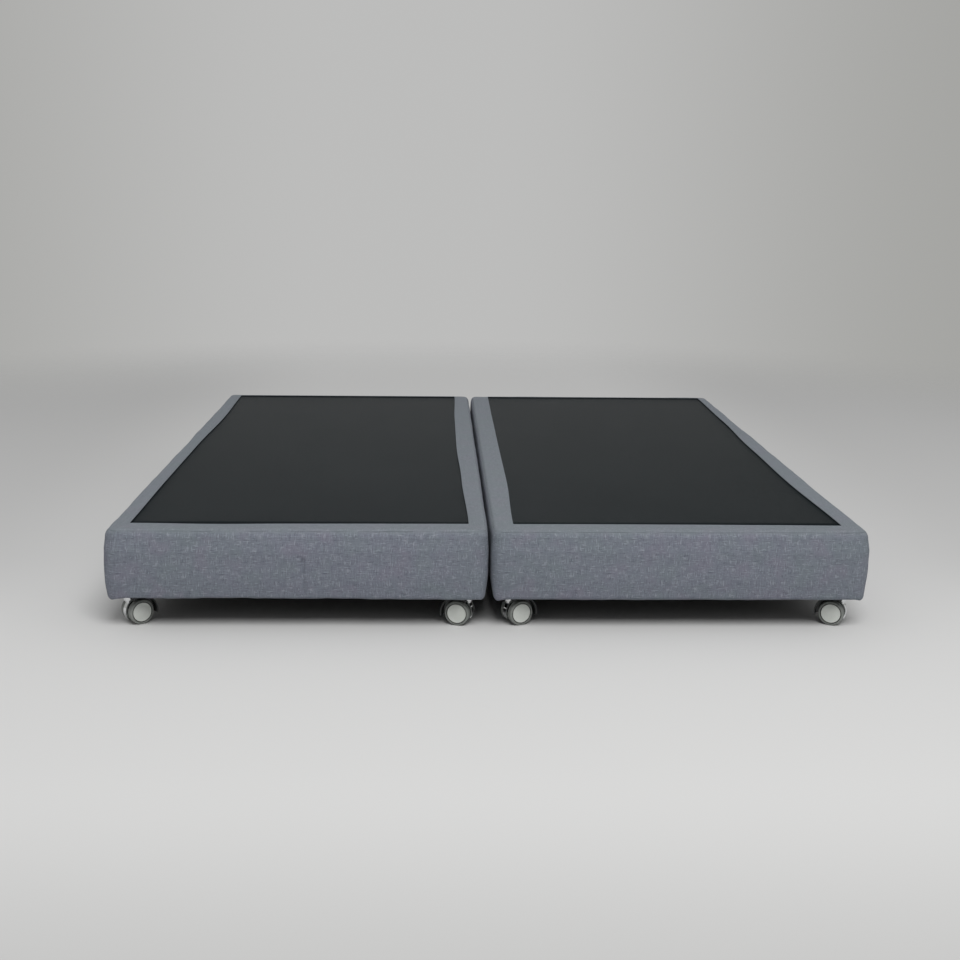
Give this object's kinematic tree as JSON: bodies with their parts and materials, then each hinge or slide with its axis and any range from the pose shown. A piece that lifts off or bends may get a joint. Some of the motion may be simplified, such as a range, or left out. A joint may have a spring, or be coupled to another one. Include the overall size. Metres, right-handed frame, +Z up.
{
  "type": "box spring bed base",
  "caption": "Split upholstered box spring bed base: low fabric-covered spring boxes side by side, with a taut dark top cloth, on swivelling twin-wheel castors.",
  "frame": {"origin": "on the floor, under the middle of the whole base", "axes": "+X across the bed, to the right as seen from the foot end; +Y from the foot end to the head end; +Z up"},
  "size_m": [1.804, 2, 0.243],
  "materials": {
    "upholstery_fabric": "matte",
    "top_cloth": "matte",
    "dust_cloth": "matte",
    "pad_foam": "matte",
    "timber": "matte",
    "spring_wire": "satin",
    "castor_plate": "satin",
    "castor_chrome": "polished",
    "castor_hood": "satin",
    "axle_steel": "satin",
    "castor_tyre": "matte",
    "castor_disc": "satin"
  },
  "bodies": {
    "left_half": {"left_outer_side_rail": "timber", "left_inner_side_rail": "timber", "left_foot_rail": "timber", "left_head_rail": "timber", "left_slat_base": "timber", "left_spring_unit": "spring_wire", "left_foam_pad": "pad_foam", "left_fabric_cover": "upholstery_fabric", "left_top_panel": "top_cloth", "left_dust_cover": "dust_cloth", "castor_left_foot_outer_plate": "castor_plate", "castor_left_foot_inner_plate": "castor_plate", "castor_left_head_inner_plate": "castor_plate", "castor_left_head_outer_plate": "castor_plate"},
    "right_half": {"right_outer_side_rail": "timber", "right_inner_side_rail": "timber", "right_foot_rail": "timber", "right_head_rail": "timber", "right_slat_base": "timber", "right_spring_unit": "spring_wire", "right_foam_pad": "pad_foam", "right_fabric_cover": "upholstery_fabric", "right_top_panel": "top_cloth", "right_dust_cover": "dust_cloth", "castor_right_foot_inner_plate": "castor_plate", "castor_right_foot_outer_plate": "castor_plate", "castor_right_head_outer_plate": "castor_plate", "castor_right_head_inner_plate": "castor_plate"},
    "left_foot_outer_swivel": {"castor_left_foot_outer_bracket": "castor_chrome", "castor_left_foot_outer_axle": "axle_steel"},
    "left_foot_outer_wheel_a": {"castor_left_foot_outer_wheel_a": "castor_tyre"},
    "left_foot_outer_wheel_b": {"castor_left_foot_outer_wheel_b": "castor_tyre"},
    "left_foot_inner_swivel": {"castor_left_foot_inner_bracket": "castor_chrome", "castor_left_foot_inner_axle": "axle_steel"},
    "left_foot_inner_wheel_a": {"castor_left_foot_inner_wheel_a": "castor_tyre"},
    "left_foot_inner_wheel_b": {"castor_left_foot_inner_wheel_b": "castor_tyre"},
    "left_head_inner_swivel": {"castor_left_head_inner_bracket": "castor_chrome", "castor_left_head_inner_axle": "axle_steel"},
    "left_head_inner_wheel_a": {"castor_left_head_inner_wheel_a": "castor_tyre"},
    "left_head_inner_wheel_b": {"castor_left_head_inner_wheel_b": "castor_tyre"},
    "left_head_outer_swivel": {"castor_left_head_outer_bracket": "castor_chrome", "castor_left_head_outer_axle": "axle_steel"},
    "left_head_outer_wheel_a": {"castor_left_head_outer_wheel_a": "castor_tyre"},
    "left_head_outer_wheel_b": {"castor_left_head_outer_wheel_b": "castor_tyre"},
    "right_foot_inner_swivel": {"castor_right_foot_inner_bracket": "castor_chrome", "castor_right_foot_inner_axle": "axle_steel"},
    "right_foot_inner_wheel_a": {"castor_right_foot_inner_wheel_a": "castor_tyre"},
    "right_foot_inner_wheel_b": {"castor_right_foot_inner_wheel_b": "castor_tyre"},
    "right_foot_outer_swivel": {"castor_right_foot_outer_bracket": "castor_chrome", "castor_right_foot_outer_axle": "axle_steel"},
    "right_foot_outer_wheel_a": {"castor_right_foot_outer_wheel_a": "castor_tyre"},
    "right_foot_outer_wheel_b": {"castor_right_foot_outer_wheel_b": "castor_tyre"},
    "right_head_outer_swivel": {"castor_right_head_outer_bracket": "castor_chrome", "castor_right_head_outer_axle": "axle_steel"},
    "right_head_outer_wheel_a": {"castor_right_head_outer_wheel_a": "castor_tyre"},
    "right_head_outer_wheel_b": {"castor_right_head_outer_wheel_b": "castor_tyre"},
    "right_head_inner_swivel": {"castor_right_head_inner_bracket": "castor_chrome", "castor_right_head_inner_axle": "axle_steel"},
    "right_head_inner_wheel_a": {"castor_right_head_inner_wheel_a": "castor_tyre"},
    "right_head_inner_wheel_b": {"castor_right_head_inner_wheel_b": "castor_tyre"}
  },
  "joints": [
    {"name": "halves_apart", "type": "slide", "parent": "left_half", "child": "right_half", "axis": [1, 0, 0], "range_m": [0, 0.5]},
    {"name": "left_foot_outer_turn", "type": "hinge", "parent": "left_half", "child": "left_foot_outer_swivel", "pos_m": [-0.854, -0.942, 0.0713], "axis": [0, 0, 1], "continuous": true},
    {"name": "left_foot_outer_roll_a", "type": "hinge", "parent": "left_foot_outer_swivel", "child": "left_foot_outer_wheel_a", "pos_m": [-0.83824, -0.92969, 0.03], "axis": [-0.6157, 0.788, 0], "continuous": true},
    {"name": "left_foot_outer_roll_b", "type": "hinge", "parent": "left_foot_outer_swivel", "child": "left_foot_outer_wheel_b", "pos_m": [-0.83824, -0.92969, 0.03], "axis": [-0.6157, 0.788, 0], "continuous": true},
    {"name": "left_foot_inner_turn", "type": "hinge", "parent": "left_half", "child": "left_foot_inner_swivel", "pos_m": [-0.05, -0.942, 0.0713], "axis": [0, 0, 1], "continuous": true},
    {"name": "left_foot_inner_roll_a", "type": "hinge", "parent": "left_foot_inner_swivel", "child": "left_foot_inner_wheel_a", "pos_m": [-0.06902, -0.93582, 0.03], "axis": [-0.309, -0.9511, 0], "continuous": true},
    {"name": "left_foot_inner_roll_b", "type": "hinge", "parent": "left_foot_inner_swivel", "child": "left_foot_inner_wheel_b", "pos_m": [-0.06902, -0.93582, 0.03], "axis": [-0.309, -0.9511, 0], "continuous": true},
    {"name": "left_head_inner_turn", "type": "hinge", "parent": "left_half", "child": "left_head_inner_swivel", "pos_m": [-0.05, 0.942, 0.0713], "axis": [0, 0, 1], "continuous": true},
    {"name": "left_head_inner_roll_a", "type": "hinge", "parent": "left_head_inner_swivel", "child": "left_head_inner_wheel_a", "pos_m": [-0.06813, 0.93355, 0.03], "axis": [0.4226, -0.9063, 0], "continuous": true},
    {"name": "left_head_inner_roll_b", "type": "hinge", "parent": "left_head_inner_swivel", "child": "left_head_inner_wheel_b", "pos_m": [-0.06813, 0.93355, 0.03], "axis": [0.4226, -0.9063, 0], "continuous": true},
    {"name": "left_head_outer_turn", "type": "hinge", "parent": "left_half", "child": "left_head_outer_swivel", "pos_m": [-0.854, 0.942, 0.0713], "axis": [0, 0, 1], "continuous": true},
    {"name": "left_head_outer_roll_a", "type": "hinge", "parent": "left_head_outer_swivel", "child": "left_head_outer_wheel_a", "pos_m": [-0.83634, 0.93261, 0.03], "axis": [0.4695, 0.8829, 0], "continuous": true},
    {"name": "left_head_outer_roll_b", "type": "hinge", "parent": "left_head_outer_swivel", "child": "left_head_outer_wheel_b", "pos_m": [-0.83634, 0.93261, 0.03], "axis": [0.4695, 0.8829, 0], "continuous": true},
    {"name": "right_foot_inner_turn", "type": "hinge", "parent": "right_half", "child": "right_foot_inner_swivel", "pos_m": [0.05, -0.942, 0.0713], "axis": [0, 0, 1], "continuous": true},
    {"name": "right_foot_inner_roll_a", "type": "hinge", "parent": "right_foot_inner_swivel", "child": "right_foot_inner_wheel_a", "pos_m": [0.06827, -0.93387, 0.03], "axis": [-0.4067, 0.9135, 0], "continuous": true},
    {"name": "right_foot_inner_roll_b", "type": "hinge", "parent": "right_foot_inner_swivel", "child": "right_foot_inner_wheel_b", "pos_m": [0.06827, -0.93387, 0.03], "axis": [-0.4067, 0.9135, 0], "continuous": true},
    {"name": "right_foot_outer_turn", "type": "hinge", "parent": "right_half", "child": "right_foot_outer_swivel", "pos_m": [0.854, -0.942, 0.0713], "axis": [0, 0, 1], "continuous": true},
    {"name": "right_foot_outer_roll_a", "type": "hinge", "parent": "right_foot_outer_swivel", "child": "right_foot_outer_wheel_a", "pos_m": [0.83587, -0.93355, 0.03], "axis": [-0.4226, -0.9063, 0], "continuous": true},
    {"name": "right_foot_outer_roll_b", "type": "hinge", "parent": "right_foot_outer_swivel", "child": "right_foot_outer_wheel_b", "pos_m": [0.83587, -0.93355, 0.03], "axis": [-0.4226, -0.9063, 0], "continuous": true},
    {"name": "right_head_outer_turn", "type": "hinge", "parent": "right_half", "child": "right_head_outer_swivel", "pos_m": [0.854, 0.942, 0.0713], "axis": [0, 0, 1], "continuous": true},
    {"name": "right_head_outer_roll_a", "type": "hinge", "parent": "right_head_outer_swivel", "child": "right_head_outer_wheel_a", "pos_m": [0.83477, 0.93649, 0.03], "axis": [0.2756, -0.9613, 0], "continuous": true},
    {"name": "right_head_outer_roll_b", "type": "hinge", "parent": "right_head_outer_swivel", "child": "right_head_outer_wheel_b", "pos_m": [0.83477, 0.93649, 0.03], "axis": [0.2756, -0.9613, 0], "continuous": true},
    {"name": "right_head_inner_turn", "type": "hinge", "parent": "right_half", "child": "right_head_inner_swivel", "pos_m": [0.05, 0.942, 0.0713], "axis": [0, 0, 1], "continuous": true},
    {"name": "right_head_inner_roll_a", "type": "hinge", "parent": "right_head_inner_swivel", "child": "right_head_inner_wheel_a", "pos_m": [0.06231, 0.92624, 0.03], "axis": [0.788, 0.6157, 0], "continuous": true},
    {"name": "right_head_inner_roll_b", "type": "hinge", "parent": "right_head_inner_swivel", "child": "right_head_inner_wheel_b", "pos_m": [0.06231, 0.92624, 0.03], "axis": [0.788, 0.6157, 0], "continuous": true}
  ]
}
